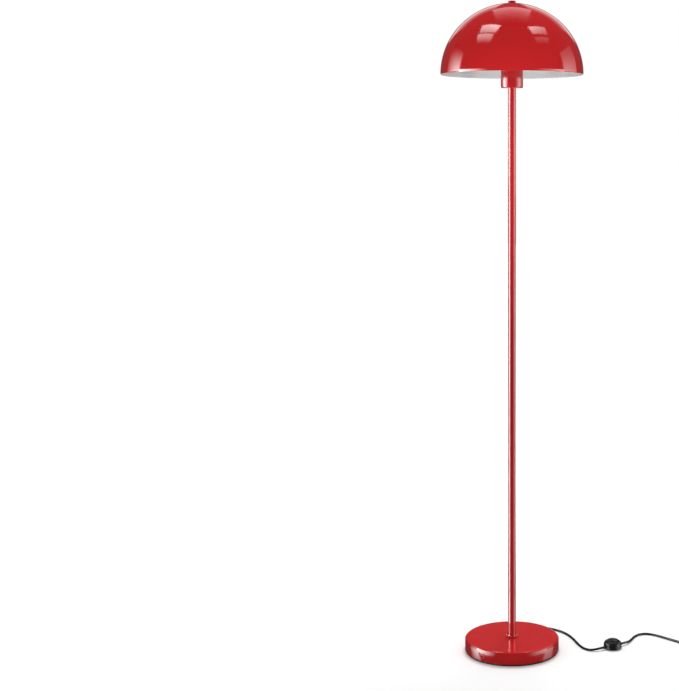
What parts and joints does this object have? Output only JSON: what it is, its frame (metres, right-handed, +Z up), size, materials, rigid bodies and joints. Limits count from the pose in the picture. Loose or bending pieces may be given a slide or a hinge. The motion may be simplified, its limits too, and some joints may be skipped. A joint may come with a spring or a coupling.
{
  "type": "floor lamp",
  "caption": "Mushroom floor lamp: domed shade on one straight pole, round weighted base, and a lead with a foot switch and a flat plug.",
  "frame": {"origin": "centre of the base's underside, on the floor", "axes": "+Z up along the pole; +X to the right as in the picture, the side that the lead runs to; +Y away from the viewer"},
  "size_m": [0.6206, 0.3, 1.3932],
  "materials": {
    "red_enamel": "high-gloss red enamel",
    "shade_enamel": "high-gloss red enamel outside, satin pale grey inside",
    "cast_iron": "rough black primer",
    "black_foam": "matte",
    "black_rubber": "matte",
    "zinc": "zinc plated",
    "spring_steel": "bright",
    "brass": "bright",
    "bulb_metal": "nickel plated",
    "black_pvc": "smooth, slight sheen",
    "black_plastic": "satin",
    "switch_plastic": "satin gloss",
    "white_ceramic": "glazed",
    "black_glass": "vitrified",
    "frosted_glass": "frosted",
    "wire_insulation": "smooth",
    "tie_strap": "woven"
  },
  "bodies": {
    "lamp": {"base_cover": "red_enamel", "base_nipple": "zinc", "base_nut": "zinc", "base_pad": "black_foam", "base_washer": "zinc", "base_weight": "cast_iron", "bulb_cap": "bulb_metal", "bulb_contact": "brass", "bulb_glass": "frosted_glass", "bulb_insulator": "black_glass", "carrier_nut": "zinc", "carrier_stud": "zinc", "centre_contact": "brass", "clamp_screws": "zinc", "coil_tie": "tie_strap", "contact_block": "white_ceramic", "cord_clamp": "zinc", "cord_coil": "black_pvc", "cord_grommet": "black_pvc", "cord_tail": "black_pvc", "cord_to_coil": "black_pvc", "cord_to_switch": "black_pvc", "cup_nut": "zinc", "cup_washer": "zinc", "finial": "red_enamel", "holder_body": "black_plastic", "holder_cap": "black_plastic", "holder_insert": "white_ceramic", "holder_ring": "black_plastic", "inner_cord": "black_pvc", "lead_wires": "wire_insulation", "pin_sleeves": "black_plastic", "plug_body": "black_pvc", "plug_pins": "bulb_metal", "plug_relief": "black_pvc", "pole_bottom_bush": "zinc", "pole_collar": "red_enamel", "pole_top_bush": "zinc", "pole_tube": "red_enamel", "shade": "shade_enamel", "shade_carrier": "zinc", "shade_washer": "black_rubber", "socket_cup": "red_enamel", "switch_base": "switch_plastic", "switch_cover": "switch_plastic", "switch_foot": "black_rubber", "switch_relief_in": "black_pvc", "switch_relief_out": "black_pvc", "switch_screws": "zinc", "switch_spring": "spring_steel", "switch_terminals": "brass", "terminal_screws": "brass", "thread_shell": "brass", "top_nipple": "zinc"},
    "button": {"switch_button": "switch_plastic"}
  },
  "joints": [
    {"name": "button_press", "type": "slide", "parent": "lamp", "child": "button", "axis": [0, 0, -1], "range_m": [0, 0.003], "stiffness_N_per_m": 800, "springref_m": -0.002, "deforming": ["switch_spring"]}
  ]
}
